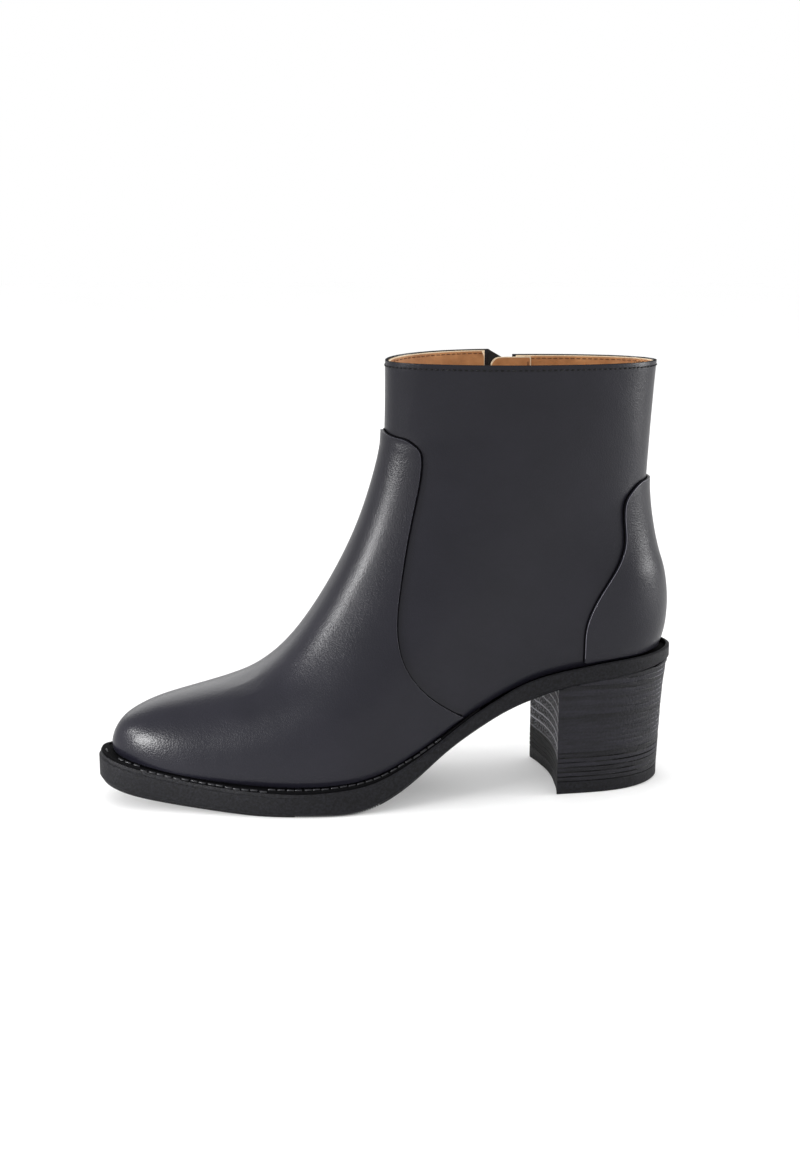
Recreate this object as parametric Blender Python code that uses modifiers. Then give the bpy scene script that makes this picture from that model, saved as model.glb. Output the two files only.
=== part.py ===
"""Heeled ankle boot for the left foot: leather upper on a welted rubber sole with a stacked block heel.

Toe points to -X, the outer side of the foot to -Y, up is +Z. Sizes below are millimetres.
"""

import math

import bpy
import numpy as np

MM = 0.001

# Fits and thicknesses.
GAP = 0.3
WALL = 2.2
PANEL = 1.3
PANEL_LIFT = 0.4
WELT = 2.0
INSOLE = 2.6

# The upper as rings from the feather line up to the collar. Each ring has its foremost and rearmost point,
# how far it follows the bend of the sole, how far it follows the inward curve of the foot, and half widths
# at six stations from the heel to the toe.
RING_COLUMNS = ("front_x", "front_z", "back_x", "back_z", "follow", "swing",
                "back", "heel", "waist", "joint", "ball", "toe")
RINGS = (
    (-117.6, 20.8, 119.8, 61.0, 1.00, 1.00, 19.3, 24.2, 25.8, 34.3, 30.5, 18.0),
    (-118.2, 26.2, 122.4, 70.0, 1.00, 1.00, 19.8, 25.4, 26.2, 35.0, 30.9, 17.6),
    (-114.6, 34.0, 123.2, 82.0, 0.96, 0.98, 19.3, 26.3, 26.6, 34.6, 29.8, 16.8),
    (-101.6, 40.8, 121.6, 94.0, 0.90, 0.92, 18.6, 26.3, 27.0, 33.2, 27.8, 15.6),
    (-81.4, 45.6, 119.0, 102.0, 0.80, 0.82, 17.8, 26.0, 27.4, 31.6, 27.2, 14.6),
    (-61.4, 51.6, 116.8, 110.0, 0.66, 0.68, 17.0, 25.6, 27.6, 30.6, 27.2, 16.0),
    (-43.2, 65.2, 115.0, 119.0, 0.50, 0.50, 16.2, 25.0, 27.8, 29.8, 26.2, 16.6),
    (-26.2, 89.0, 113.8, 128.0, 0.35, 0.32, 15.4, 24.4, 28.0, 29.2, 25.0, 15.6),
    (-12.4, 116.0, 113.4, 136.0, 0.22, 0.18, 14.8, 24.0, 28.3, 28.8, 24.0, 14.4),
    (-3.7, 143.0, 114.2, 151.0, 0.10, 0.08, 14.4, 24.0, 28.7, 28.9, 23.6, 13.4),
    (-1.6, 158.2, 114.9, 163.0, 0.05, 0.03, 14.2, 24.2, 29.0, 29.0, 23.4, 13.0),
    (-1.2, 187.0, 116.4, 186.4, 0.00, 0.00, 14.2, 24.6, 29.6, 29.4, 23.6, 13.0),
)
COUNTER_TOP = 8
VAMP_TOP = 10
COLLAR = 11
RING_STEPS = 2
CORNER_RINGS = (9.75,)
PANEL_START = 0.2
# The vamp's top edge slopes down from the shin to its seams: how far in rings, within what reach from the
# middle, and from which ring on.
VAMP_DIP = 0.21
VAMP_DIP_REACH = 16.0
VAMP_DIP_FROM = 8.5
MEDIAL_RISE = 2.4

# Middle line of the foot seen from above.
CENTRE_X = (-120, -100, -72, -45, -24, 0, 28, 75, 120)
CENTRE_Y = (1.2, 2.2, 3.1, 1.0, -1.9, -3.4, -3.5, -0.8, 0.0)

# Height of the feather line, where the upper meets the welt.
FEATHER_X = (-126, -118, -92, -62, -34, -10, 12, 34, 58, 84, 126)
FEATHER_Z = (23.2, 21.0, 15.6, 12.3, 11.9, 15.5, 26.6, 41.0, 52.2, 57.8, 61.2)

# Underside of the outsole: toe spring, flat tread, raised waist and heel seat.
TREAD_X = (-126.5, -114, -98, -80, -58, -26, -17, -4, 8, 20, 34, 48, 61, 74, 95, 126.5)
TREAD_Z = (9.2, 6.0, 3.4, 1.5, 0.0, 0.0, 1.0, 6.0, 13.9, 23.4, 32.2, 39.6, 44.5, 48.3, 51.4, 54.6)

# Plan of the outsole: length and half widths at the six stations, outer side and inner side.
SOLE_FRONT = -126.5
SOLE_BACK = 126.5
SOLE_OUTER = (20.5, 28.3, 32.2, 40.8, 30.0, 17.6)
SOLE_INNER = (20.5, 26.6, 25.2, 37.6, 37.8, 20.2)
SOLE_COLUMNS = 44
# Profile of the sole's side: how far in from the plan, and height as a share of its thickness.
SOLE_SIDE = ((0.8, 1.0), (0.0, 0.92), (0.0, 0.18), (1.4, 0.0))
PLAN_ROUND = 0.5
# The welt runs from waist to waist round the toe. Its ends are pared thin; behind them the sole fills up.
WELT_INSET = 1.3
WELT_REACH = 7.0
WELT_PARED_FROM = -8.0
WELT_END = 42.0
WELT_TIP = 0.5
SEAT_FROM = 52.0

# Heel block under the seat.
BREAST_X = 70.0
BREAST_HOLLOW = 3.0
BREAST_COLUMNS = 6
HEEL_COLUMNS = 14
HEEL_CROWD = 1.7
HEEL_INSET = 0.9
HEEL_TAPER = 3.4
HEEL_FLARE = 0.6
HEEL_LEVELS = (0.0, 0.35, 0.7, 1.0)
PLAN_SAMPLES = 400
TOP_LIFT = 5.6
LIFT_EDGE = 0.7

# Zip on the inner side.
ZIP_X = 54.5
ZIP_SLOT = 11.0
ZIP_START = 3
ZIP_CLEAR = 0.05
ZIP_SINK = 0.5
TAPE = 1.1
TEETH_HALF = 1.5
TEETH_PROUD = 0.9
ZIP_STOP = 10.9
GUARD_REAR = 68.0
GUARD_FRONT = 50.3
GUARD_COLUMNS = 5
GUARD_CORNER = (0.2, 0.1, 0.04, 0.01)
GUARD = 1.2
GUARD_DEPTH = WALL + 0.5
GUARD_TOP = 10.96
GUARD_ROUND = 4.5

# Slider and its hanging tab.
SLIDER_Z = 176.0
SLIDER_SIZE = (6.4, 2.0, 9.0)
LUG = 1.3
LUG_REACH = 3.0
PIN_RADIUS = 0.7
PIN_RISE = 1.8
PULL_WIDTH = 3.0
PULL_LENGTH = 21.0
PULL_THICK = 1.2
PULL_EYE = 1.6
PIN_SIDES = 16
FACE_SAMPLES = 40
EDGE = 0.4

# Seams of the laid-over panels: place along the foot at each height. Above the panels the lines run on
# up to the collar so that the rings keep even columns.
VAMP_SEAM_Z = (36, 41, 47.5, 55.7, 65, 74, 86, 99, 113, 128, 140, 149, 154.5, 158.6, 164, 175, 190)
VAMP_SEAM_X = (31, 22.4, 13.2, 5.7, 0.8, -0.7, -0.2, 2.1, 4.7, 8.1, 11.0, 11.9, 10.8, 5.8, 7.5, 11.0, 13.0)
COUNTER_SEAM_Z = (56, 66, 74.5, 82.3, 90.6, 98.6, 105.5, 112, 120, 127, 132, 135, 140, 150, 190)
COUNTER_SEAM_X = (81.4, 81.2, 81.3, 84.0, 88.9, 94.5, 97.9, 98.9, 98.0, 98.4, 100.8, 105.5, 104.5, 102, 101)

# Columns of the upper between its seams on one side: counter, rear quarter, zip, front quarter, vamp.
COLUMN_COUNTS = (5, 4, 1, 4, 11)
TURN_SAMPLES = 721


def through(xs, ys, x):
    """Smooth curve through the stations of a table."""
    xs = np.asarray(xs, float)
    ys = np.asarray(ys, float)
    step = np.diff(xs)
    rise = np.diff(ys) / step
    slope = np.empty_like(ys)
    slope[0] = rise[0]
    slope[-1] = rise[-1]
    slope[1:-1] = (rise[:-1] * step[1:] + rise[1:] * step[:-1]) / (step[1:] + step[:-1])
    x = np.clip(np.asarray(x, float), xs[0], xs[-1])
    i = np.clip(np.searchsorted(xs, x, side="right") - 1, 0, len(step) - 1)
    t = (x - xs[i]) / step[i]
    return (ys[i] * (1 + 2 * t) * (1 - t) ** 2 + slope[i] * step[i] * t * (1 - t) ** 2
            + ys[i + 1] * t * t * (3 - 2 * t) + slope[i + 1] * step[i] * t * t * (t - 1))


def rounded(stations, angle):
    """Half width at an angle from the heel (0) to the toe (pi), round at both ends."""
    count = len(stations)
    marks = math.pi * np.arange(1, count + 1) / (count + 1)
    total = 0.0
    for k in range(1, count + 1):
        share = 2.0 / (count + 1) * float(np.dot(stations, np.sin(k * marks)))
        total = total + share * np.sin(k * angle)
    return total


def feather(x):
    return through(FEATHER_X, FEATHER_Z, x)


def tread(x):
    return np.maximum(through(TREAD_X, TREAD_Z, x), 0.0)


def welt_thickness(x):
    return np.interp(x, (WELT_PARED_FROM, WELT_END), (WELT, WELT_TIP))


def sole_top(x):
    under_welt = np.interp(x, (WELT_END, SEAT_FROM), (1.0, 0.0))
    return feather(x) - GAP - (GAP + welt_thickness(x)) * under_welt


def ring(v):
    """Sizes of the ring at height v, counted in rows of the table."""
    rows = np.arange(len(RINGS))
    return {name: float(through(rows, [r[i] for r in RINGS], v)) for i, name in enumerate(RING_COLUMNS)}


def on_upper(v, turn):
    """Point on the outside of the upper. The turn is 0 at the heel, pi at the toe, then the inner side."""
    size = ring(v)
    turn = np.asarray(turn, float)
    inner = turn > math.pi
    angle = np.where(inner, 2 * math.pi - turn, turn)
    along = (1 - np.cos(angle)) / 2
    x = size["back_x"] + (size["front_x"] - size["back_x"]) * along
    level = size["back_z"] + (size["front_z"] - size["back_z"]) * along
    rear = feather(size["back_x"])
    front = feather(size["front_x"])
    sag = feather(x) - (rear + (front - rear) * along)
    z = level + size["follow"] * sag
    half = rounded([size[n] for n in RING_COLUMNS[6:]], angle)
    middle = through(CENTRE_X, CENTRE_Y, x) * size["swing"]
    y = middle + np.where(inner, half, -half)
    return np.stack([x, y, z], axis=-1)


def outward(v, turn):
    """Direction square to the upper, away from the foot."""
    nudge = 1e-3
    low = max(v - nudge, 0.0)
    high = min(v + nudge, float(COLLAR))
    up = on_upper(high, turn) - on_upper(low, turn)
    around = on_upper(v, turn + nudge) - on_upper(v, turn - nudge)
    square = np.cross(up, around)
    return square / np.linalg.norm(square, axis=-1, keepdims=True)


def turn_at(v, place):
    """Turn on the outer side where the ring at v meets a line given as place(x, z) = 0."""
    angles = np.linspace(0.0, math.pi, TURN_SAMPLES)
    points = on_upper(v, angles)
    ahead = place(points[:, 0], points[:, 2])
    i = int(np.argmax(ahead <= 0))
    span = ahead[i - 1] - ahead[i]
    return float(angles[i - 1] + (angles[i] - angles[i - 1]) * ahead[i - 1] / span)


def zip_edge(side):
    return lambda x, z: x - (ZIP_X + side * ZIP_SLOT / 2)


def columns(v):
    """Turns of the ring's columns on the outer side, heel to toe, with columns on every seam."""
    knots = [
        0.0,
        turn_at(v, lambda x, z: x - through(COUNTER_SEAM_Z, COUNTER_SEAM_X, z)),
        turn_at(v, zip_edge(1)),
        turn_at(v, zip_edge(-1)),
        turn_at(v, lambda x, z: x - through(VAMP_SEAM_Z, VAMP_SEAM_X, z)),
        math.pi,
    ]
    turns = [0.0]
    for a, b, n in zip(knots[:-1], knots[1:], COLUMN_COUNTS):
        turns += [a + (b - a) * (k + 1) / n for k in range(n)]
    return np.array(turns)


def collar_rise(v, turn, front_turn):
    """The front flap stands a little higher beside the zip on the inner side."""
    share = np.clip((2 * math.pi - turn) - front_turn, 0.0, None) / (math.pi - front_turn)
    flap = np.where((turn > math.pi) & (2 * math.pi - turn >= front_turn - 1e-9), 1.0, 0.0)
    fade = max(v - VAMP_TOP, 0.0) / (COLLAR - VAMP_TOP)
    return MEDIAL_RISE * fade * flap * np.cos(share * math.pi / 2)


def rows_of(first, last):
    count = int(round((last - first) * RING_STEPS))
    even = [first + k / RING_STEPS for k in range(count + 1)]
    return sorted(even + [v for v in CORNER_RINGS if first < v < last])


def new_object(name, points, faces, collection):
    mesh = bpy.data.meshes.new(name)
    mesh.from_pydata([tuple(float(c) * MM for c in p) for p in points], [], faces)
    mesh.update()
    obj = bpy.data.objects.new(name, mesh)
    collection.objects.link(obj)
    return obj


def apply_modifiers(obj):
    bpy.ops.object.select_all(action="DESELECT")
    obj.select_set(True)
    bpy.context.view_layer.objects.active = obj
    for modifier in list(obj.modifiers):
        bpy.ops.object.modifier_apply(modifier=modifier.name)


def thicken(obj, thickness, direction):
    """Give an open sheet its leather thickness, outward for 1 and inward for -1."""
    solid = obj.modifiers.new("thickness", "SOLIDIFY")
    solid.thickness = thickness * MM
    solid.offset = direction
    solid.use_even_offset = True
    solid.use_rim = True
    apply_modifiers(obj)


def tidy(obj, colour, roughness, metallic=0.0):
    """Outward faces and the piece's own material."""
    bpy.ops.object.select_all(action="DESELECT")
    obj.select_set(True)
    bpy.context.view_layer.objects.active = obj
    bpy.ops.object.mode_set(mode="EDIT")
    bpy.ops.mesh.select_all(action="SELECT")
    bpy.ops.mesh.normals_make_consistent(inside=False)
    bpy.ops.object.mode_set(mode="OBJECT")
    material = bpy.data.materials.new(obj.name)
    material.use_nodes = True
    shader = material.node_tree.nodes["Principled BSDF"]
    shader.inputs["Base Color"].default_value = (*colour, 1.0)
    shader.inputs["Roughness"].default_value = roughness
    shader.inputs["Metallic"].default_value = metallic
    obj.data.materials.clear()
    obj.data.materials.append(material)


def grid_faces(rows, cols, closed=False, skip=()):
    faces = []
    for i in range(rows - 1):
        for j in range(cols if closed else cols - 1):
            if (i, j) not in skip:
                k = (j + 1) % cols
                faces.append((i * cols + j, (i + 1) * cols + j, (i + 1) * cols + k, i * cols + k))
    return faces


def make_upper(collection):
    """Closed body: one sheet round the foot, slit above the zip's lower end, thickened inward."""
    heights = rows_of(0, COLLAR)
    side = sum(COLUMN_COUNTS)
    points = []
    for v in heights:
        turns = columns(v)
        loop = np.concatenate([turns, 2 * math.pi - turns[-2:0:-1]])
        ring_points = on_upper(v, loop)
        front_turn = turns[sum(COLUMN_COUNTS[:3])]
        ring_points[:, 2] += collar_rise(v, loop, front_turn)
        points.extend(ring_points)
    zip_column = 2 * side - sum(COLUMN_COUNTS[:3])
    slit = {(i, zip_column) for i, v in enumerate(heights[:-1]) if v >= ZIP_START}
    obj = new_object("upper", points, grid_faces(len(heights), 2 * side, True, slit), collection)
    thicken(obj, WALL, -1)
    tidy(obj, (0.03, 0.03, 0.033), 0.45)


def vamp_span(turns):
    """Columns of the vamp, from its outer seam over the toe to its inner seam."""
    half = turns[-COLUMN_COUNTS[4] - 1:]
    return np.concatenate([half, 2 * math.pi - half[-2::-1]])


def counter_span(turns):
    """Columns of the heel counter, from its inner seam round the heel to its outer seam."""
    half = turns[:COLUMN_COUNTS[0] + 1]
    return np.concatenate([2 * math.pi - half[:0:-1], half])


def make_panel(name, collection, top, span, dip):
    """Panel laid over the upper between two columns of its rings, thickened outward."""
    heights = [PANEL_START] + rows_of(0, top)[1:]
    points = []
    for v in heights:
        part = span(columns(v))
        away = np.clip(np.abs(on_upper(v, part)[:, 1]) / VAMP_DIP_REACH, 0.0, 1.0)
        for turn, share in zip(part, away * np.clip(v - VAMP_DIP_FROM, 0.0, 1.0)):
            row = v - dip * share
            points.append(on_upper(row, turn) + PANEL_LIFT * outward(row, turn))
    cols = len(points) // len(heights)
    obj = new_object(name, points, grid_faces(len(heights), cols), collection)
    thicken(obj, PANEL, 1)
    tidy(obj, (0.03, 0.03, 0.033), 0.42)


def sole_plan(inset, count):
    """Both sides of the outsole's outline from heel to toe, moved in by the inset."""
    angle = math.pi * np.arange(count + 1) / count
    along = (1 - np.cos(angle)) / 2
    back = SOLE_BACK - inset
    front = SOLE_FRONT + inset
    x = back + (front - back) * along
    trim = inset * np.abs(np.sin(angle)) ** PLAN_ROUND
    outer = -np.maximum(rounded(SOLE_OUTER, angle) - trim, 0.0)
    inner = np.maximum(rounded(SOLE_INNER, angle) - trim, 0.0)
    return x, outer, inner


def loop_of(x, outer, inner):
    """One closed loop: heel, outer side, toe, inner side."""
    first = np.stack([x, outer], axis=-1)
    second = np.stack([x[-2:0:-1], inner[-2:0:-1]], axis=-1)
    return np.concatenate([first, second])


def cap(start, count):
    """Strips across a loop made by loop_of."""
    total = 2 * count
    faces = []
    for j in range(count):
        a = start + j
        b = start + j + 1
        c = start + (total - j - 1) % total
        d = start + (total - j) % total
        corners = [a, b, c, d]
        faces.append(tuple(dict.fromkeys(corners)))
    return faces


def make_outsole(collection):
    count = SOLE_COLUMNS
    points = []
    for inset, share in SOLE_SIDE:
        loop = loop_of(*sole_plan(inset, count))
        low = tread(loop[:, 0])
        z = low + (sole_top(loop[:, 0]) - low) * share
        points.extend(np.column_stack([loop, z]))
    total = 2 * count
    faces = grid_faces(len(SOLE_SIDE), total, True)
    faces += cap(0, count)
    faces += cap((len(SOLE_SIDE) - 1) * total, count)
    obj = new_object("outsole", points, faces, collection)
    tidy(obj, (0.02, 0.02, 0.02), 0.7)


def feather_plan(inset, count):
    """Both sides of the upper's lower edge, moved in by the inset."""
    size = ring(0)
    angle = math.pi * np.arange(count + 1) / count
    along = (1 - np.cos(angle)) / 2
    back = size["back_x"] - inset
    front = size["front_x"] + inset
    x = back + (front - back) * along
    half = rounded([size[n] for n in RING_COLUMNS[6:]], angle)
    half = np.maximum(half - inset * np.abs(np.sin(angle)) ** PLAN_ROUND, 0.0)
    middle = through(CENTRE_X, CENTRE_Y, x)
    return x, middle - half, middle + half


def make_welt(collection):
    """Strip between upper and outsole, from the outer waist round the toe to the inner waist."""
    edge = loop_of(*sole_plan(WELT_INSET, SOLE_COLUMNS))
    core = loop_of(*feather_plan(WELT_REACH, SOLE_COLUMNS))
    sections = []
    for outside, inside in zip(edge, core):
        if outside[0] < WELT_END and inside[0] < WELT_END:
            section = []
            for point, drop in ((outside, 1), (outside, 0), (inside, 0), (inside, 1)):
                z = feather(point[0]) - GAP - drop * welt_thickness(point[0])
                section.append((point[0], point[1], z))
            sections.append(section)
    obj = sweep("welt", sections, collection)
    tidy(obj, (0.025, 0.025, 0.027), 0.5)


def make_insole(collection):
    count = SOLE_COLUMNS
    loop = loop_of(*feather_plan(WALL + 2 * GAP, count))
    points = []
    for rise in (INSOLE, 0.0):
        points.extend(np.column_stack([loop, feather(loop[:, 0]) + rise]))
    faces = grid_faces(2, 2 * count, True) + cap(0, count) + cap(2 * count, count)
    obj = new_object("insole", points, faces, collection)
    tidy(obj, (0.48, 0.24, 0.09), 0.6)


def heel_plan(level, inset):
    """Outline of the heel block at a level from the floor (0) to the seat (1), breast last."""
    x, outer, inner = sole_plan(HEEL_INSET + inset, PLAN_SAMPLES)
    keep = x > BREAST_X
    marks = np.linspace(0.0, 1.0, HEEL_COLUMNS + 1) ** HEEL_CROWD
    span = x[0] - BREAST_X
    at = x[0] - span * marks
    low = np.interp(-at, -x[keep], outer[keep])
    high = np.interp(-at, -x[keep], inner[keep])
    taper = 1 - HEEL_TAPER / span * (1 - level) ** HEEL_FLARE
    at = BREAST_X + (at - BREAST_X) * taper
    across = np.linspace(0.0, 1.0, BREAST_COLUMNS + 1)[1:-1]
    bow = BREAST_X + inset + BREAST_HOLLOW * np.sin(across * math.pi)
    front = np.column_stack([bow, low[-1] + (high[-1] - low[-1]) * across])
    first = np.column_stack([at, low])
    second = np.column_stack([at[-1:0:-1], high[-1:0:-1]])
    return np.concatenate([first, front, second])


def heel_faces(levels):
    total = len(heel_plan(0.0, 0.0))
    faces = grid_faces(levels, total, True)
    for start in (0, (levels - 1) * total):
        faces.append((start, start + 1, start + total - 1))
        for j in range(1, HEEL_COLUMNS - 1):
            faces.append((start + j, start + j + 1, start + total - j - 1, start + total - j))
        last = HEEL_COLUMNS - 1
        faces.append(tuple(range(start + last, start + total - last + 1)))
    return faces


def make_heel(collection):
    points = []
    for level in HEEL_LEVELS:
        loop = heel_plan(level, 0.0)
        floor = TOP_LIFT + GAP
        seat = tread(loop[:, 0]) - GAP
        points.extend(np.column_stack([loop, floor + (seat - floor) * level]))
    obj = new_object("heel", points, heel_faces(len(HEEL_LEVELS)), collection)
    tidy(obj, (0.03, 0.028, 0.028), 0.4)


def make_top_lift(collection):
    points = []
    for inset, z in ((LIFT_EDGE, 0.0), (0.0, LIFT_EDGE), (0.0, TOP_LIFT)):
        loop = heel_plan(0.0, inset)
        points.extend(np.column_stack([loop, np.full(len(loop), z)]))
    obj = new_object("top_lift", points, heel_faces(3), collection)
    tidy(obj, (0.02, 0.02, 0.02), 0.6)


def beside_zip(v, x, depth):
    """Point on the inner side at a place along the foot, moved inward by the depth."""
    turn = 2 * math.pi - turn_at(v, lambda px, pz: px - x)
    return on_upper(v, turn) - depth * outward(v, turn)


def sweep(name, sections, collection):
    """Closed body through a row of like sections."""
    count = len(sections[0])
    points = [p for section in sections for p in section]
    faces = grid_faces(len(sections), count, True)
    faces.append(tuple(range(count)))
    faces.append(tuple((len(sections) - 1) * count + j for j in range(count)))
    return new_object(name, points, faces, collection)


def make_zip_tape(collection):
    half = ZIP_SLOT / 2 - GAP
    back = ZIP_SINK + TAPE
    front = ZIP_SINK - TEETH_PROUD
    profile = ((-half, ZIP_SINK), (-TEETH_HALF, ZIP_SINK), (-TEETH_HALF, front), (TEETH_HALF, front),
               (TEETH_HALF, ZIP_SINK), (half, ZIP_SINK), (half, back), (-half, back))
    sections = []
    for v in [ZIP_START + ZIP_CLEAR] + rows_of(ZIP_START, COLLAR)[1:-1] + [ZIP_STOP]:
        sections.append([beside_zip(v, ZIP_X + across, depth) for across, depth in profile])
    obj = sweep("zip_tape", sections, collection)
    tidy(obj, (0.02, 0.02, 0.022), 0.6)


def make_zip_guard(collection):
    """Flap behind the zip, fixed at its rear edge, round at its upper front corner."""
    top = float(beside_zip(GUARD_TOP, ZIP_X, 0.0)[2])
    sections = []
    corner = [GUARD_TOP - below for below in GUARD_CORNER]
    for v in rows_of(ZIP_START, COLLAR)[:-1] + corner + [GUARD_TOP]:
        drop = top - float(beside_zip(v, ZIP_X, 0.0)[2])
        short = max(GUARD_ROUND - drop, 0.0)
        front = GUARD_FRONT + GUARD_ROUND - math.sqrt(GUARD_ROUND ** 2 - short ** 2)
        places = np.linspace(front, GUARD_REAR, GUARD_COLUMNS)
        near = [beside_zip(v, x, GUARD_DEPTH) for x in places]
        far = [beside_zip(v, x, GUARD_DEPTH + GUARD) for x in places[::-1]]
        sections.append(near + far)
    obj = sweep("zip_guard", sections, collection)
    tidy(obj, (0.5, 0.26, 0.1), 0.6)


def block(name, centre, size, collection):
    bpy.ops.mesh.primitive_cube_add(size=1.0, location=[c * MM for c in centre])
    obj = bpy.context.object
    obj.name = name
    obj.scale = [s * MM for s in size]
    bpy.ops.object.transform_apply(location=False, rotation=False, scale=True)
    for other in list(obj.users_collection):
        other.objects.unlink(obj)
    collection.objects.link(obj)
    return obj


def pin(name, centre, radius, length, collection):
    bpy.ops.mesh.primitive_cylinder_add(vertices=PIN_SIDES, radius=radius * MM, depth=length * MM,
                                        location=[c * MM for c in centre], rotation=(0, math.pi / 2, 0))
    obj = bpy.context.object
    obj.name = name
    bpy.ops.object.transform_apply(location=False, rotation=True, scale=True)
    for other in list(obj.users_collection):
        other.objects.unlink(obj)
    collection.objects.link(obj)
    return obj


def combine(obj, other, operation):
    cut = obj.modifiers.new("cut", "BOOLEAN")
    cut.operation = operation
    cut.solver = "EXACT"
    cut.object = other
    apply_modifiers(obj)


def soften(obj, width):
    bevel = obj.modifiers.new("edge", "BEVEL")
    bevel.width = width * MM
    bevel.segments = 1
    bevel.limit_method = "ANGLE"
    apply_modifiers(obj)


def slider_face():
    """Height along Y of the teeth's outer face beside the slider."""
    heights = np.linspace(VAMP_TOP, ZIP_STOP, FACE_SAMPLES)
    faces = [beside_zip(v, ZIP_X, ZIP_SINK - TEETH_PROUD) for v in heights]
    return max(float(p[1]) for p in faces)


def make_slider(collection, cutters):
    """Slider body over the teeth with two lugs that carry a pin."""
    width, depth, height = SLIDER_SIZE
    face = slider_face() + GAP
    body = block("zip_slider", (ZIP_X, face + depth / 2, SLIDER_Z), (width, depth, height), collection)
    soften(body, EDGE)
    pin_y = face + depth + PIN_RISE
    for side in (-1, 1):
        lug_x = ZIP_X + side * (PULL_WIDTH / 2 + GAP + LUG / 2)
        lug_low = face + depth - EDGE
        lug_high = pin_y + PIN_RADIUS + EDGE
        lug_centre = (lug_x, (lug_low + lug_high) / 2, SLIDER_Z)
        lug = block("lug", lug_centre, (LUG, lug_high - lug_low, LUG_REACH), cutters)
        combine(body, lug, "UNION")
    bar = pin("bar", (ZIP_X, pin_y, SLIDER_Z), PIN_RADIUS, PULL_WIDTH + 2 * GAP + LUG, cutters)
    combine(body, bar, "UNION")
    tidy(body, (0.03, 0.03, 0.03), 0.35, 0.8)
    return pin_y


def make_pull(collection, cutters, pin_y):
    """Tab that hangs from the slider's pin. Its origin is on the pin's axis."""
    tab_centre = (ZIP_X, pin_y, SLIDER_Z - PULL_LENGTH / 2)
    tab = block("zip_pull", tab_centre, (PULL_WIDTH, PULL_THICK, PULL_LENGTH), collection)
    eye = pin("eye", (ZIP_X, pin_y, SLIDER_Z), PULL_EYE, PULL_WIDTH, cutters)
    combine(tab, eye, "UNION")
    hole = pin("hole", (ZIP_X, pin_y, SLIDER_Z), PIN_RADIUS + GAP, PULL_WIDTH * 2, cutters)
    combine(tab, hole, "DIFFERENCE")
    tidy(tab, (0.03, 0.03, 0.03), 0.35, 0.8)
    bpy.context.scene.cursor.location = (ZIP_X * MM, pin_y * MM, SLIDER_Z * MM)
    bpy.ops.object.select_all(action="DESELECT")
    tab.select_set(True)
    bpy.context.view_layer.objects.active = tab
    bpy.ops.object.origin_set(type="ORIGIN_CURSOR")


def main():
    for obj in list(bpy.data.objects):
        bpy.data.objects.remove(obj, do_unlink=True)
    parts = bpy.data.collections.new("heeled_ankle_boot")
    cutters = bpy.data.collections.new("cutters")
    bpy.context.scene.collection.children.link(parts)
    bpy.context.scene.collection.children.link(cutters)
    make_upper(parts)
    make_panel("vamp", parts, VAMP_TOP, vamp_span, VAMP_DIP)
    make_panel("heel_counter", parts, COUNTER_TOP, counter_span, 0.0)
    make_insole(parts)
    make_welt(parts)
    make_outsole(parts)
    make_heel(parts)
    make_top_lift(parts)
    make_zip_tape(parts)
    make_zip_guard(parts)
    pin_y = make_slider(parts, cutters)
    make_pull(parts, cutters, pin_y)
    for obj in cutters.objects:
        obj.hide_render = True
        obj.display_type = "WIRE"


main()
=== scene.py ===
import math
import random

import bpy
from mathutils import Matrix, Vector, kdtree, noise


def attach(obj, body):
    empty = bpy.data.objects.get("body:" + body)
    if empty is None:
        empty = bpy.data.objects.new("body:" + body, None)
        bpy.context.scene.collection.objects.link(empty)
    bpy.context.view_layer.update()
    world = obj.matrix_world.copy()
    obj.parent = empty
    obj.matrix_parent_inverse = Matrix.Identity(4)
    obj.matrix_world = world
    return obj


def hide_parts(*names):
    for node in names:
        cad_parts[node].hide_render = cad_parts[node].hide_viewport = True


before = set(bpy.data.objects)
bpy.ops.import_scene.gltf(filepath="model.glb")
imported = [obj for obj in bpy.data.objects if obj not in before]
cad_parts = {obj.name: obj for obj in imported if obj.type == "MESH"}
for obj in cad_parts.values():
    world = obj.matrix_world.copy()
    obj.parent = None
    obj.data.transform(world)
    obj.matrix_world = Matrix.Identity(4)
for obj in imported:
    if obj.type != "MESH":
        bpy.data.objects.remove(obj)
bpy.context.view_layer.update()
mm = 0.001
print("frame loaded:", len(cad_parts), "nodes")


def clamp(value):
    return min(max(value, 0), 1)


# selecting and editing, as by hand

def only(piece):
    if bpy.context.mode != "OBJECT":
        bpy.ops.object.mode_set(mode="OBJECT")
    bpy.ops.object.select_all(action="DESELECT")
    piece.select_set(True)
    bpy.context.view_layer.objects.active = piece


def openEdit(piece, kind="FACE", start="DESELECT"):
    only(piece)
    bpy.ops.object.mode_set(mode="EDIT")
    bpy.ops.mesh.select_mode(type=kind)
    bpy.ops.mesh.select_all(action=start)


def closeEdit():
    bpy.ops.object.mode_set(mode="OBJECT")


def pick(piece, kind, test):  # leaves edit mode open with what passes the test selected
    openEdit(piece, kind)
    closeEdit()
    mesh = piece.data
    items = {"FACE": mesh.polygons, "EDGE": mesh.edges, "VERT": mesh.vertices}[kind]
    for item in items:
        item.select = test(item)
    bpy.ops.object.mode_set(mode="EDIT")


def shift(piece, test, x=0, y=0, z=0):  # moves the points that pass the test, in millimetres
    pick(piece, "VERT", test)
    bpy.ops.transform.translate(value=(x * mm, y * mm, z * mm))
    closeEdit()


def modify(piece, kind, **settings):
    change = piece.modifiers.new(kind.lower(), kind)
    for key, value in settings.items():
        setattr(change, key, value)
    only(piece)
    bpy.ops.object.modifier_apply(modifier=change.name)


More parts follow.
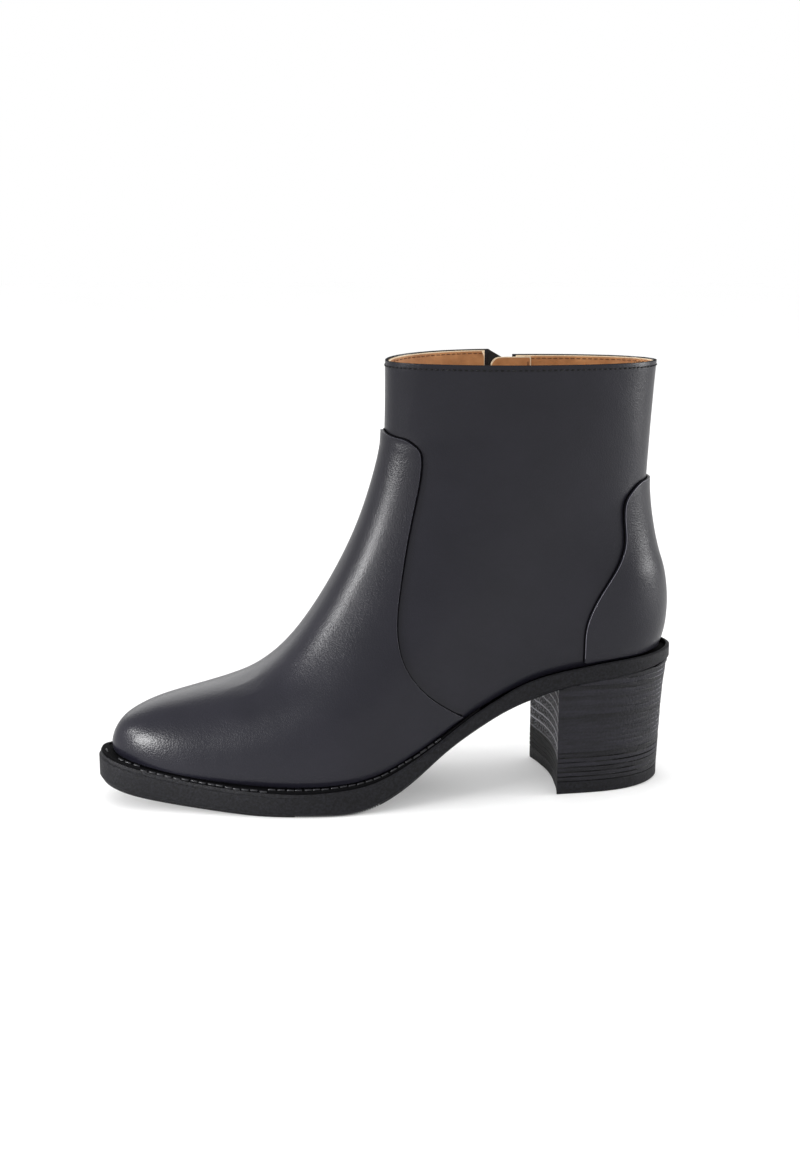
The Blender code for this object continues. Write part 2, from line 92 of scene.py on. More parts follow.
def copyNode(node, name):  # own mesh, merged, since a node is loose triangles
    piece = bpy.data.objects.new(name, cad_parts[node].data.copy())
    piece.data.name = name
    piece.data.materials.clear()
    bpy.context.collection.objects.link(piece)
    openEdit(piece, "VERT", "SELECT")
    bpy.ops.mesh.remove_doubles(threshold=1e-6)
    bpy.ops.mesh.customdata_custom_splitnormals_clear()
    closeEdit()
    return piece


def keepSkin(piece, place, sharp=55):  # one side of a thick sheet: what runs on flat from the face at a place
    spot = Vector(place) * mm
    nearest = min(piece.data.polygons, key=lambda face: (face.center - spot).length).index
    pick(piece, "FACE", lambda face: face.index == nearest)
    bpy.ops.mesh.faces_select_linked_flat(sharpness=math.radians(sharp))
    bpy.ops.mesh.select_all(action="INVERT")
    bpy.ops.mesh.delete(type="FACE")
    closeEdit()


def toQuads(piece, tidiness=1.4):
    openEdit(piece, "FACE", "SELECT")
    bpy.ops.mesh.tris_convert_to_quads(face_threshold=math.pi, shape_threshold=math.pi,
                                       topology_influence=tidiness)
    closeEdit()


def holdSharp(piece, angle=30):  # creases keep the hard edges through the smoothing
    openEdit(piece, "EDGE")
    bpy.ops.mesh.edges_select_sharp(sharpness=math.radians(angle))
    bpy.ops.transform.edge_crease(value=1.0)
    closeEdit()


def smooth(piece, levels, boundary="ALL", loose=()):  # rounded skin that keeps to the points of the CAD
    aim = [v.co.copy() for v in piece.data.vertices]
    change = piece.modifiers.new("smooth", "SUBSURF")
    change.levels = change.render_levels = levels
    change.boundary_smooth = boundary
    for turn in range(2):
        bpy.context.view_layer.update()
        trial = piece.evaluated_get(bpy.context.evaluated_depsgraph_get()).data
        miss = [goal - trial.vertices[k].co for k, goal in enumerate(aim)]
        for v, gap in zip(piece.data.vertices, miss):
            if v.index not in loose:
                v.co += gap
        piece.data.update()
    only(piece)
    bpy.ops.object.modifier_apply(modifier=change.name)


def ease(piece, times):  # evens out ripples, the border stays
    fixed = borderVerts(piece, lambda co: True)
    pick(piece, "VERT", lambda v: v.index not in fixed)
    bpy.ops.mesh.vertices_smooth(factor=0.5, repeat=times)
    closeEdit()


def nearestTo(spots):  # gives the distance of any place to these spots, in millimetres
    line = kdtree.KDTree(len(spots))
    for k, spot in enumerate(spots):
        line.insert(spot, k)
    line.balance()
    return lambda place: line.find(place)[2] / mm


def markEdge(piece, edges):  # a paint mask: how far each point is from these edges, in millimetres
    away = nearestTo([a.lerp(b, k / 12) for a, b in edges for k in range(13)])
    mask = piece.data.attributes.new("fromEdge", "FLOAT", "POINT")
    for v in piece.data.vertices:
        mask.data[v.index].value = away(v.co)


def tuckUnder(piece, foot, reach, depth, drop):  # the leather turns in and down towards its lasted edge
    verts = piece.data.vertices
    fromFoot = nearestTo([verts[i].co.copy() for i in foot])
    away = [fromFoot(v.co) for v in verts]
    moves = [(v.normal * depth + Vector((0, 0, drop))) * mm * max(1 - gap / reach, 0) ** 2
             for v, gap in zip(verts, away)]
    for v, move in zip(verts, moves):
        v.co -= move
    piece.data.update()


def roundEdges(piece, width, steps=3, angle=50, paint=-1):
    modify(piece, "BEVEL", width=width * mm, segments=steps, limit_method="ANGLE",
           angle_limit=math.radians(angle), material=paint)


def joinAll(pieces):
    only(pieces[0])
    for piece in pieces:
        piece.select_set(True)
    bpy.ops.object.join()
    return bpy.context.object


def shade(piece, angle=40):
    only(piece)
    bpy.ops.object.shade_smooth_by_angle(angle=math.radians(angle))


def paint(piece, *materials):
    piece.data.materials.clear()
    for material in materials:
        piece.data.materials.append(material)


def plainCopy(node, name, sharp, edge, limit, soft):  # smoothed between its hard edges, the edges rounded
    piece = copyNode(node, name)
    toQuads(piece)
    holdSharp(piece, sharp)
    smooth(piece, 2)
    roundEdges(piece, edge, 2, limit)
    shade(piece, soft)
    return piece


def settle(piece, body, slot, *nodes):  # rides on its body, stands for its nodes
    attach(piece, body)
    if nodes:
        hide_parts(*nodes)


# materials

def fromHex(code):
    parts = [int(code[i:i + 2], 16) / 255 for i in (0, 2, 4)]
    return (*[c / 12.92 if c <= 0.04045 else ((c + 0.055) / 1.055) ** 2.4 for c in parts], 1.0)


def socketOf(value):  # a node stands for its first output
    if isinstance(value, bpy.types.Node):
        return next(socket for socket in value.outputs if socket.enabled)
    return value


def addNode(tree, kind, inputs=(), **settings):
    node = tree.nodes.new("ShaderNode" + kind)
    if kind == "Mix":
        node.data_type = "RGBA"  # here only colours are mixed
    for key, value in settings.items():
        setattr(node, key, value)
    for key, value in dict(inputs).items():
        value = socketOf(value)
        if isinstance(value, bpy.types.NodeSocket):
            tree.links.new(value, node.inputs[key])
        else:
            node.inputs[key].default_value = value
    return node


def newMaterial(name, **sockets):
    material = bpy.data.materials.new(name)
    material.use_nodes = True
    tree = material.node_tree
    shader = tree.nodes["Principled BSDF"]
    for key, value in sockets.items():
        shader.inputs[key.replace("_", " ")].default_value = value
    coords = addNode(tree, "TexCoord").outputs["Object"]
    return material, tree, shader, coords


def connect(tree, shader, **sockets):
    for key, socket in sockets.items():
        tree.links.new(socketOf(socket), shader.inputs[key.replace("_", " ")])


def perMm(size):  # texture scale for a pattern of this size in millimetres
    return 1 / (size * mm)


# smooth calf, dyed black and lightly waxed: near black, broad soft gloss, fine pebble in the highlights
def calfLeather(name, dark, light):
    material, tree, shader, coords = newMaterial(name, IOR=1.4, Coat_Weight=0.06, Coat_Roughness=0.2)
    cloudy = addNode(tree, "TexNoise", {"Vector": coords, "Scale": perMm(24), "Detail": 3})
    tone = addNode(tree, "Mix", {"Factor": cloudy, "A": fromHex(dark), "B": fromHex(light)})
    gloss = addNode(tree, "MapRange", {"Value": cloudy, "To Min": 0.26, "To Max": 0.36})
    pebble = addNode(tree, "TexVoronoi", {"Vector": coords, "Scale": perMm(0.65)})  # real grain 0.3 mm
    pores = addNode(tree, "TexNoise", {"Vector": coords, "Scale": perMm(1.6), "Detail": 4})
    uneven = addNode(tree, "TexNoise", {"Vector": coords, "Scale": perMm(15), "Detail": 2})
    wave = addNode(tree, "Bump", {"Height": uneven, "Strength": 0.3, "Distance": 0.6 * mm})
    fine = addNode(tree, "Bump", {"Height": pores, "Strength": 0.3, "Distance": 0.14 * mm, "Normal": wave})
    grain = addNode(tree, "Bump", {"Height": pebble, "Strength": 0.6, "Distance": 0.08 * mm,
                                   "Normal": fine})
    connect(tree, shader, Base_Color=tone, Roughness=gloss, Normal=grain)
    return material


# edge ink: flat black and matt; also laid as painted shade at the foot of a folded edge and in gaps and
# grooves
def edgeInk(name, light, dark):
    material, tree, shader, coords = newMaterial(name, Roughness=0.8, IOR=1.25, Specular_IOR_Level=0.2)
    patchy = addNode(tree, "TexNoise", {"Vector": coords, "Scale": perMm(1.2), "Detail": 4})
    tone = addNode(tree, "Mix", {"Factor": patchy, "A": fromHex(dark), "B": fromHex(light)})
    bump = addNode(tree, "Bump", {"Height": patchy, "Strength": 0.3, "Distance": 0.1 * mm})
    connect(tree, shader, Base_Color=tone, Normal=bump)
    return material


# vegetable tanned lining, undyed and brushed: warm tan, matt, faint cloudy tone and fibre
def tanLeather(name, light, dark, roughness, pale=0):  # pale: width of the cut edge that shows, in mm
    material, tree, shader, coords = newMaterial(name, Roughness=roughness, IOR=1.45, Sheen_Weight=0.12)
    cloudy = addNode(tree, "TexNoise", {"Vector": coords, "Scale": perMm(7), "Detail": 6})
    spread = addNode(tree, "MapRange", {"Value": cloudy, "From Min": 0.3, "From Max": 0.7})
    tone = addNode(tree, "Mix", {"Factor": spread, "A": fromHex(dark), "B": fromHex(light)})
    fibre = addNode(tree, "TexNoise", {"Vector": coords, "Scale": perMm(0.7), "Detail": 4})
    bump = addNode(tree, "Bump", {"Height": fibre, "Strength": 0.35, "Distance": 0.12 * mm})
    if pale:
        away = addNode(tree, "Attribute", attribute_name="fromEdge")
        cut = addNode(tree, "MapRange", {"Value": away.outputs["Fac"], "From Min": pale * 0.75,
                                         "From Max": pale * 1.25, "To Min": 1, "To Max": 0})
        tone = addNode(tree, "Mix", {"Factor": cut, "A": tone, "B": fromHex("e8d3b2")})
    connect(tree, shader, Base_Color=tone, Normal=bump)
    return material


# moulded rubber, left matt: deep grey-black with a fine sandy skin
def mouldedRubber():
    material, tree, shader, coords = newMaterial("rubber, moulded matt", IOR=1.34)
    cloudy = addNode(tree, "TexNoise", {"Vector": coords, "Scale": perMm(6), "Detail": 4})
    sand = addNode(tree, "TexNoise", {"Vector": coords, "Scale": perMm(1.0), "Detail": 5, "Roughness": 0.7})
    grit = addNode(tree, "MapRange", {"Value": sand, "From Min": 0.4, "From Max": 0.62})
    tone = addNode(tree, "Mix", {"Factor": grit, "A": fromHex("070709"), "B": fromHex("19191f")})
    rough = addNode(tree, "MapRange", {"Value": cloudy, "To Min": 0.46, "To Max": 0.62})
    bump = addNode(tree, "Bump", {"Height": sand, "Strength": 0.9, "Distance": 0.3 * mm})
    connect(tree, shader, Base_Color=tone, Roughness=rough, Normal=bump)
    return material


# stacked leather, sanded, inked and waxed: dark, with faint streaks along the layers
def stackedLeather(first, pitch, lowUpTo):
    material, tree, shader, coords = newMaterial("stacked leather, inked and waxed", IOR=1.4)
    place = addNode(tree, "SeparateXYZ", {"Vector": coords})
    count = addNode(tree, "MapRange", {"Value": place.outputs["Z"], "From Min": first * mm,
                                       "From Max": (first + pitch) * mm}, clamp=False)
    layer = addNode(tree, "Math", {0: count}, operation="FLOOR")
    each = addNode(tree, "TexWhiteNoise", {"W": layer}, noise_dimensions="1D")
    along = addNode(tree, "Mapping", {"Vector": coords, "Scale": (1, 1, 11)})
    streak = addNode(tree, "TexNoise", {"Vector": along, "Scale": perMm(12), "Detail": 7})
    pits = addNode(tree, "TexNoise", {"Vector": coords, "Scale": perMm(1.1), "Detail": 6})
    mixed = addNode(tree, "Math", {0: each, 1: 0.3, 2: streak}, operation="MULTIPLY_ADD")
    flecked = addNode(tree, "Math", {0: pits, 1: 0.5, 2: mixed}, operation="MULTIPLY_ADD")
    spread = addNode(tree, "MapRange", {"Value": flecked, "From Min": 0.6, "From Max": 1.2})
    ground = addNode(tree, "Mix", {"Factor": spread, "A": fromHex("09090c"), "B": fromHex("22212a")})
    part = addNode(tree, "Math", {0: count}, operation="FRACT")
    edge = addNode(tree, "MapRange", {"Value": part, "From Min": 0.76, "From Max": 0.88})
    rear = addNode(tree, "MapRange", {"Value": place.outputs["X"], "From Min": 114 * mm,
                                      "From Max": 122 * mm})
    patch = addNode(tree, "MapRange", {"Value": pits, "From Min": 0.43, "From Max": 0.57})
    worn = addNode(tree, "Math", {0: edge, 1: rear}, operation="MULTIPLY")
    # ink rubbed off the layers' edges at the back, pale also as a painted highlight on the upward-facing
    # lower side of each joint
    shown = addNode(tree, "Math", {0: worn, 1: patch}, operation="MULTIPLY")
    rubbed = addNode(tree, "Mix", {"Factor": shown, "A": ground, "B": fromHex("8c8b92")})
    seam = addNode(tree, "Math", {0: part, 1: 0.5, 2: 0.34}, operation="COMPARE")
    low = addNode(tree, "MapRange", {"Value": place.outputs["Z"], "From Min": lowUpTo * mm,
                                     "From Max": (lowUpTo - 4) * mm})
    deep = addNode(tree, "MapRange", {"Value": streak, "From Min": 0.38, "From Max": 0.5})
    gap = addNode(tree, "Math", {0: 1.0, 1: seam}, operation="SUBTRACT")
    filled = addNode(tree, "Math", {0: gap, 1: low}, operation="MULTIPLY")
    # the lowest joints stand open, dark with ink
    inked = addNode(tree, "Math", {0: filled, 1: deep}, operation="MULTIPLY")
    tone = addNode(tree, "Mix", {"Factor": inked, "A": rubbed, "B": fromHex("030304")})
    rough = addNode(tree, "MapRange", {"Value": streak, "To Min": 0.38, "To Max": 0.62})
    furrow = addNode(tree, "Bump", {"Height": streak, "Strength": 0.6, "Distance": 0.4 * mm})
    bump = addNode(tree, "Bump", {"Height": pits, "Strength": 0.9, "Distance": 0.4 * mm, "Normal": furrow})
    connect(tree, shader, Base_Color=tone, Roughness=rough, Normal=bump)
    return material


# the same stack at the breast, sawn and barely inked: speckled grey, pale joints, dark near the floor
def sawnBreast(first, pitch, darkUpTo):
    material, tree, shader, coords = newMaterial("stacked leather, sawn and rubbed with ink", Roughness=0.7,
                                                 IOR=1.35)
    place = addNode(tree, "SeparateXYZ", {"Vector": coords})
    drift = addNode(tree, "TexNoise", {"Vector": coords, "Scale": perMm(7), "Detail": 3})
    count = addNode(tree, "MapRange", {"Value": place.outputs["Z"], "From Min": first * mm,
                                       "From Max": (first + pitch) * mm}, clamp=False)
    loose = addNode(tree, "Math", {0: drift, 1: 0.3, 2: count}, operation="MULTIPLY_ADD")
    part = addNode(tree, "Math", {0: loose}, operation="FRACT")
    joint = addNode(tree, "MapRange", {"Value": part, "From Min": 0.0, "From Max": 0.2, "To Min": 1.0,
                                       "To Max": 0.0})
    above = addNode(tree, "MapRange", {"Value": place.outputs["Z"], "From Min": (darkUpTo - 1.5) * mm,
                                       "From Max": (darkUpTo + 1.5) * mm})
    speck = addNode(tree, "TexNoise", {"Vector": coords, "Scale": perMm(0.9), "Detail": 6})
    rubbed = addNode(tree, "MapRange", {"Value": speck, "From Min": 0.46, "From Max": 0.62})
    worn = addNode(tree, "Math", {0: rubbed, 1: above}, operation="MULTIPLY")
    ground = addNode(tree, "Mix", {"Factor": worn, "A": fromHex("141416"), "B": fromHex("75747a")})
    showing = addNode(tree, "Math", {0: joint, 1: above}, operation="MULTIPLY")
    tone = addNode(tree, "Mix", {"Factor": showing, "A": ground, "B": fromHex("b4b4ba")})
    bump = addNode(tree, "Bump", {"Height": speck, "Strength": 0.6, "Distance": 0.2 * mm})
    connect(tree, shader, Base_Color=tone, Normal=bump)
    return material


# waxed thread: a plain colour with a twist and a small glint
def waxedThread(name, light, dark, roughness):
    material, tree, shader, coords = newMaterial(name, IOR=1.5)
    wax = addNode(tree, "TexNoise", {"Vector": coords, "Scale": perMm(5), "Detail": 2})
    rough = addNode(tree, "MapRange", {"Value": wax, "From Min": 0.35, "From Max": 0.65,
                                       "To Min": roughness, "To Max": roughness + 0.35})
    twist = addNode(tree, "TexNoise", {"Vector": coords, "Scale": perMm(0.5), "Detail": 2})
    tone = addNode(tree, "Mix", {"Factor": twist, "A": fromHex(dark), "B": fromHex(light)})
    bump = addNode(tree, "Bump", {"Height": twist, "Strength": 0.5, "Distance": 0.1 * mm})
    connect(tree, shader, Base_Color=tone, Roughness=rough, Normal=bump)
    return material


# woven polyester tape: black, matt, with the ribs of its weave
def wovenTape():
    material, tree, shader, coords = newMaterial("polyester tape, woven", Roughness=0.75, IOR=1.5,
                                                 Sheen_Weight=0.2)
    ribs = addNode(tree, "TexWave", {"Vector": coords, "Scale": perMm(0.9) / 20, "Distortion": 0.4},
                   bands_direction="Z")
    tone = addNode(tree, "Mix", {"Factor": ribs.outputs["Fac"], "A": fromHex("0b0b0c"),
                                 "B": fromHex("19191b")})
    bump = addNode(tree, "Bump", {"Height": ribs.outputs["Fac"], "Strength": 0.5, "Distance": 0.15 * mm})
    connect(tree, shader, Base_Color=tone, Normal=bump)
    return material


# die cast zinc under black lacquer: smooth, glossy, rubbed a little on the edges
def blackLacquer():
    material, tree, shader, coords = newMaterial("zinc, cast and lacquered black", IOR=1.5, Coat_Weight=0.5,
                                                 Coat_Roughness=0.12)
    rub = addNode(tree, "TexNoise", {"Vector": coords, "Scale": perMm(2.5), "Detail": 5})
    tone = addNode(tree, "Mix", {"Factor": rub, "A": fromHex("0c0c0d"), "B": fromHex("1d1d1f")})
    rough = addNode(tree, "MapRange", {"Value": rub, "To Min": 0.2, "To Max": 0.38})
    connect(tree, shader, Base_Color=tone, Roughness=rough)
    return material


# studio floor, painted matt white: bright to the eye, dimmer where gloss would mirror it
def paintedFloor(glow, mirrored):
    material, tree, shader, coords = newMaterial("floor, painted matt white", Roughness=0.9,
                                                 Emission_Color=(1, 1, 1, 1))
    cloudy = addNode(tree, "TexNoise", {"Vector": coords, "Scale": perMm(400), "Detail": 2})
    tone = addNode(tree, "Mix", {"Factor": cloudy, "A": fromHex("e6e6e6"), "B": fromHex("e9e9e9")})
    rays = addNode(tree, "LightPath")
    seen = addNode(tree, "Mix", {"Factor": rays.outputs["Is Glossy Ray"], "A": tone,
                                 "B": fromHex(mirrored)})
    glows = addNode(tree, "MapRange", {"Value": rays.outputs["Is Glossy Ray"], "To Min": glow, "To Max": 0})
    connect(tree, shader, Base_Color=seen, Emission_Strength=glows)
    return material


stackLook = {"first": 7.9, "pitch": 2.15, "count": 22, "half": 0.26, "groove": 0.11, "backGroove": 0.34,
             "step": 0.07, "coarseUpTo": 21, "coarseOver": 6, "darkUpTo": 16.5, "flare": 0.35, "backFrom": 98,
             "backOver": 22, "glued": 0.25, "shown": 0.6, "patches": 90}
calf = calfLeather("calf leather, dyed and waxed", "15151c", "1e1d26")
# a lighter copy of the calf: a painted highlight along the folded edges
foldHighlightCalf = calfLeather("calf leather, painted highlight at the fold", "706f79", "8e8d97")
# flat black ink, laid also as painted shade in gaps and grooves
inkAndShade = edgeInk("edge ink and painted shade, flat black", "0b0b0c", "040405")
collarInk = edgeInk("calf leather, collar edge inked", "151518", "0a0a0c")
# near black for the board's side and the guard's back: painted shade in the gaps
boardShade = edgeInk("board and flesh side, black as painted shade", "141416", "08080a")
liningTan = tanLeather("lining leather, brushed tan", "c68d59", "a06a3c", 0.62, 0.4)
rawEdge = tanLeather("lining leather, cut edge", "ecdabc", "cdb38c", 0.7)
sockTan = tanLeather("sock leather, brushed tan", "b67d4b", "93623a", 0.58)
rubber = mouldedRubber()
stack = stackedLeather(stackLook["first"], stackLook["pitch"], stackLook["coarseUpTo"])
breast = sawnBreast(stackLook["first"], stackLook["pitch"] * 2, stackLook["darkUpTo"])
# inked welt leather, darker still as painted shade in the groove under the vamp
weltInkAndShade = edgeInk("welt leather, edge inked, darker as painted shade", "0d0d0f", "050506")
dullThread = waxedThread("thread, black", "0c0c0e", "040405", 0.6)
weltThread = waxedThread("thread, waxed black", "2a2a2f", "0e0e10", 0.22)
brownThread = waxedThread("thread, waxed brown", "83562f", "5f3c20", 0.5)
tapeWeave = wovenTape()
lacquer = blackLacquer()
print("materials made")


# borders of sheets

def borderEdges(piece):
    counts = {}
    for face in piece.data.polygons:
        for key in face.edge_keys:
            counts[key] = counts.get(key, 0) + 1
    return [key for key, count in counts.items() if count == 1]


def borderVerts(piece, test):
    return {i for key in borderEdges(piece) for i in key if test(piece.data.vertices[i].co)}


def edgeEnds(piece, keys):
    verts = piece.data.vertices
    return [(verts[a].co.copy(), verts[b].co.copy()) for a, b in keys]


def borderOrder(piece):  # the border's points one after the other round an open sheet
    links = {}
    for a, b in borderEdges(piece):
        links.setdefault(a, []).append(b)
        links.setdefault(b, []).append(a)
    order = [min(links)]
    order.append(links[order[0]][0])
    while True:
        ahead = [i for i in links[order[-1]] if i != order[-2]][0]
        if ahead == order[0]:
            return order
        order.append(ahead)


def borderRuns(piece, corners):  # the lower and the upper part of a border between two corners
    order = borderOrder(piece)
    first, last = sorted(order.index(i) for i in corners)
    runs = (order[first + 1:last], order[last + 1:] + order[:first])
    return sorted(runs, key=lambda run: max(piece.data.vertices[i].co.z for i in run))


def borderLine(piece, deep, out):  # a line round the sheet, below its border by deep and beside it by out
    verts = piece.data.vertices
    order = borderOrder(piece)
    line = []
    for k, i in enumerate(order):
        along = verts[order[(k + 1) % len(order)]].co - verts[order[k - 1]].co
        side = along.cross(verts[i].normal).normalized()
        line.append(verts[i].co - verts[i].normal * deep * mm + side * out * mm)
    return line


def rimPoints(piece, lowest):  # top edge of an open sheet, in order from the zip's front edge round the front
    verts = piece.data.vertices
    found = set()
    for a, b in borderEdges(piece):
        p, q = verts[a].co, verts[b].co
        if min(p.z, q.z) > lowest * mm and abs(p.z - q.z) < 0.4 * (p - q).length:
            found.update((a, b))
    points = [verts[i].co.copy() for i in found]
    points.sort(key=lambda p: math.atan2(collarMiddle * mm - p.x, p.y) % (2 * math.pi))
    return points


def tubeAlong(name, points, radius, closed):
    path = bpy.data.curves.new(name, "CURVE")
    path.dimensions = "3D"
    path.bevel_depth = radius * mm
    path.bevel_resolution = 1
    spline = path.splines.new("POLY")
    spline.points.add(len(points) - 1)
    for mark, point in zip(spline.points, points):
        mark.co = (*point, 1)
    spline.use_cyclic_u = closed
    tube = bpy.data.objects.new(name, path)
    bpy.context.collection.objects.link(tube)
    only(tube)
    bpy.ops.object.convert(target="MESH")
    return bpy.context.object


# sewing: one stitch modelled once, copied along a path that lies on a surface

def oneStitch(length, width):
    bpy.ops.object.select_all(action="DESELECT")
    bpy.ops.mesh.primitive_uv_sphere_add(segments=6, ring_count=5, radius=width / 2,
                                         rotation=(0, math.pi / 2, 0))
    stitch = bpy.context.object
    bpy.ops.object.transform_apply(location=True, rotation=True, scale=True)
    for side in (-1, 1):
        pick(stitch, "VERT", lambda v: v.co.x * side > width * 0.05)
        bpy.ops.transform.translate(value=(side * (length - width) / 2, 0, 0))
        closeEdit()
        pick(stitch, "VERT", lambda v: v.co.x * side > length * 0.45)  # the ends dive into the leather
        bpy.ops.transform.translate(value=(0, 0, -width * 0.3))
        closeEdit()
    return stitch


def evenly(path, pitch):
    total = sum((b - a).length for a, b in zip(path[:-1], path[1:]))
    count = int(total / pitch)
    marks = [(k + 0.5) * total / count for k in range(count)]
    run = 0
    out = []
    for a, b in zip(path[:-1], path[1:]):
        step = (b - a).length
        while marks and marks[0] <= run + step:
            out.append((a.lerp(b, (marks.pop(0) - run) / step), (b - a).normalized()))
        run += step
    return out


def sewRow(name, surface, path, look, material):
    stitch = oneStitch(look["length"] * mm, look["width"] * mm)
    bpy.context.view_layer.update()
    row = []
    hand = random.Random(11)
    for point, along in evenly(path, look["pitch"] * mm):
        point += Vector([hand.uniform(-1, 1) for axis in range(3)]) * look.get("loose", 0) * mm
        found, spot, normal, face = surface.closest_point_on_mesh(point)
        side = normal.cross(along).normalized()
        ahead = side.cross(normal)
        turn = Matrix((ahead, side, normal)).transposed().to_4x4()
        mesh = stitch.data.copy()
        mesh.transform(Matrix.Translation(spot + normal * look["lift"] * mm) @ turn)
        copy = bpy.data.objects.new(name, mesh)
        bpy.context.collection.objects.link(copy)
        row.append(copy)
    bpy.data.objects.remove(stitch)
    seam = joinAll(row)
    seam.name = name
    paint(seam, material)
    only(seam)
    bpy.ops.object.shade_smooth()
    return seam


def vertAt(piece, place):
    return min(piece.data.vertices, key=lambda v: (v.co - Vector(place) * mm).length).index


def softPush(piece, places, size, depth):  # a soft trough along a few places, pressed in along the normal
    verts = piece.data.vertices
    chosen = {vertAt(piece, place) for place in places}
    push = sum((verts[i].normal for i in chosen), Vector()).normalized() * -depth * mm
    pick(piece, "VERT", lambda v: v.index in chosen)
    bpy.ops.transform.translate(value=push, use_proportional_edit=True, proportional_edit_falloff="SMOOTH",
                                proportional_size=size * mm, use_proportional_connected=True)
    closeEdit()


collarMiddle = 57.6  # x of the opening's middle
collarFrom = 180  # the collar's rim lies above this height
slitFrom = 74  # the zip's slit lies above this one
lastedBelow = 70  # and the lasted edges below this one

# the leather of the quarters and shaft: outer skin of the CAD body, smoothed, then given its thickness
tuckLook = {"vamp": (4.2, 0.8, 0.4), "rear": (3.2, 0.5, 0.9)}  # reach, depth, drop
quarterLook = {"thickness": 1.2, "edge": 0.5, "inkFrom": 183, "ease": 16}
seamLook = {"width": 0.3, "depth": 0.3, "from": 150, "top": 187, "lean": 0.17, "over": 36.5, "front": 8}
quarterDents = [((30, -36, 103), 16, 0.3), ((22, -36, 68), 14, 0.3)]
quarter = copyNode("upper", "quarterLeather")
keepSkin(quarter, (30, -40, 120))
toQuads(quarter, 1.3)
smooth(quarter, 2, "PRESERVE_CORNERS")
ease(quarter, quarterLook["ease"])
quarterFoot = borderVerts(quarter, lambda co: co.z < lastedBelow * mm)
tuckUnder(quarter, quarterFoot, *tuckLook["rear"])
collarRim = rimPoints(quarter, collarFrom)
for place, size, depth in quarterDents:
    softPush(quarter, [place], size, depth)


def onFrontSeam(p, reach):  # the line where the two quarters meet above the vamp, it leans a little
    middle = -seamLook["lean"] * (seamLook["top"] * mm - p.z) / seamLook["over"]
    return p.x < seamLook["front"] * mm and abs(p.y - middle) < reach * mm and p.z > seamLook["from"] * mm


pick(quarter, "EDGE", lambda edge: all(onFrontSeam(quarter.data.vertices[i].co, 0.15) for i in edge.vertices))
bpy.ops.mesh.bevel(offset=seamLook["width"] * mm, segments=2, affect="EDGES")
closeEdit()
shift(quarter, lambda v: onFrontSeam(v.co, 0.1), x=seamLook["depth"])
modify(quarter, "SOLIDIFY", thickness=quarterLook["thickness"] * mm, offset=-1)
roundEdges(quarter, quarterLook["edge"], 3, 60)
shade(quarter)
paint(quarter, calf, collarInk)
for face in quarter.data.polygons:
    face.material_index = 1 if face.normal.z > 0.5 and face.center.z > quarterLook["inkFrom"] * mm else 0
settle(quarter, "boot", "black_leather", "upper")
print("quarters:", len(quarter.data.polygons), "faces, rim", len(collarRim))

# the tan lining: inner skin of the same body, set a little below the collar, its cut edges paler
liningLook = {"thickness": 0.85, "chamfer": 0.5, "below": 0.45, "shorter": 3.4, "fromZip": 1.4,
              "flapBack": 0.8, "flapFrom": 172, "frontEdge": (47, 52), "rearEdge": (57, 62),
              "flapEdge": (45, 50)}
lining = copyNode("upper", "liningLeather")
keepSkin(lining, (30, -24, 120))
toQuads(lining, 1.3)
smooth(lining, 2, "PRESERVE_CORNERS")
liningFoot = borderVerts(lining, lambda co: co.z < lastedBelow * mm)
shift(lining, lambda v: v.index in liningFoot, z=liningLook["shorter"])  # ends on the sock
slit = borderVerts(lining, lambda co: co.z > slitFrom * mm)
slitFoot = min(lining.data.vertices[i].co.z for i in slit)


def besideZip(v, low, high):  # on the slit's edge, between these two x
    return v.index in slit and low * mm < v.co.x < high * mm and v.co.y > 20 * mm


shift(lining, lambda v: besideZip(v, *liningLook["frontEdge"]), x=-liningLook["fromZip"])
shift(lining, lambda v: besideZip(v, *liningLook["rearEdge"]), x=liningLook["fromZip"])
shift(lining, lambda v: v.index in slit and v.co.z < slitFoot + 3 * mm, z=-liningLook["fromZip"])
shift(lining, lambda v: besideZip(v, *liningLook["flapEdge"]) and v.co.z > liningLook["flapFrom"] * mm,
      x=-liningLook["flapBack"])
liningRim = rimPoints(lining, collarFrom)
rimSpots = {tuple(point) for point in liningRim}
shift(lining, lambda v: tuple(v.co) in rimSpots, z=-liningLook["below"])
verts = lining.data.vertices
liningCut = edgeEnds(lining, [key for key in borderEdges(lining) if verts[key[0]].co.z > slitFrom * mm])
paint(lining, liningTan, rawEdge)
modify(lining, "SOLIDIFY", thickness=liningLook["thickness"] * mm, offset=-1, material_offset_rim=1)
roundEdges(lining, liningLook["chamfer"], 2, 60, 1)
markEdge(lining, liningCut)
shade(lining)
settle(lining, "boot", "tan_leather")
print("lining:", len(lining.data.polygons), "faces")

# the vamp and the heel counter: laid over with folded edges lighter at the fold as a painted highlight, a
# dark line of edge ink at the foot of the fold that also stands in for its shade
overlayLook = {"thickness": 1.3, "fold": 0.62, "levels": 3, "ink": 0.28, "inkShadeDeep": 1.38, "inkShadeOut": 0.13,
               "ease": 24, "noHighlightNearFoot": 3}
# the first is a soft fold above the toes, the second fills the toe out at its foot
vampTroughs = [(((-62, -4, 50), (-61, -12, 47), (-60, -18, 43)), 11, 0.45),
               (((-119, -4, 22), (-119, 4, 22), (-118, 10, 22)), 13, -1.3)]


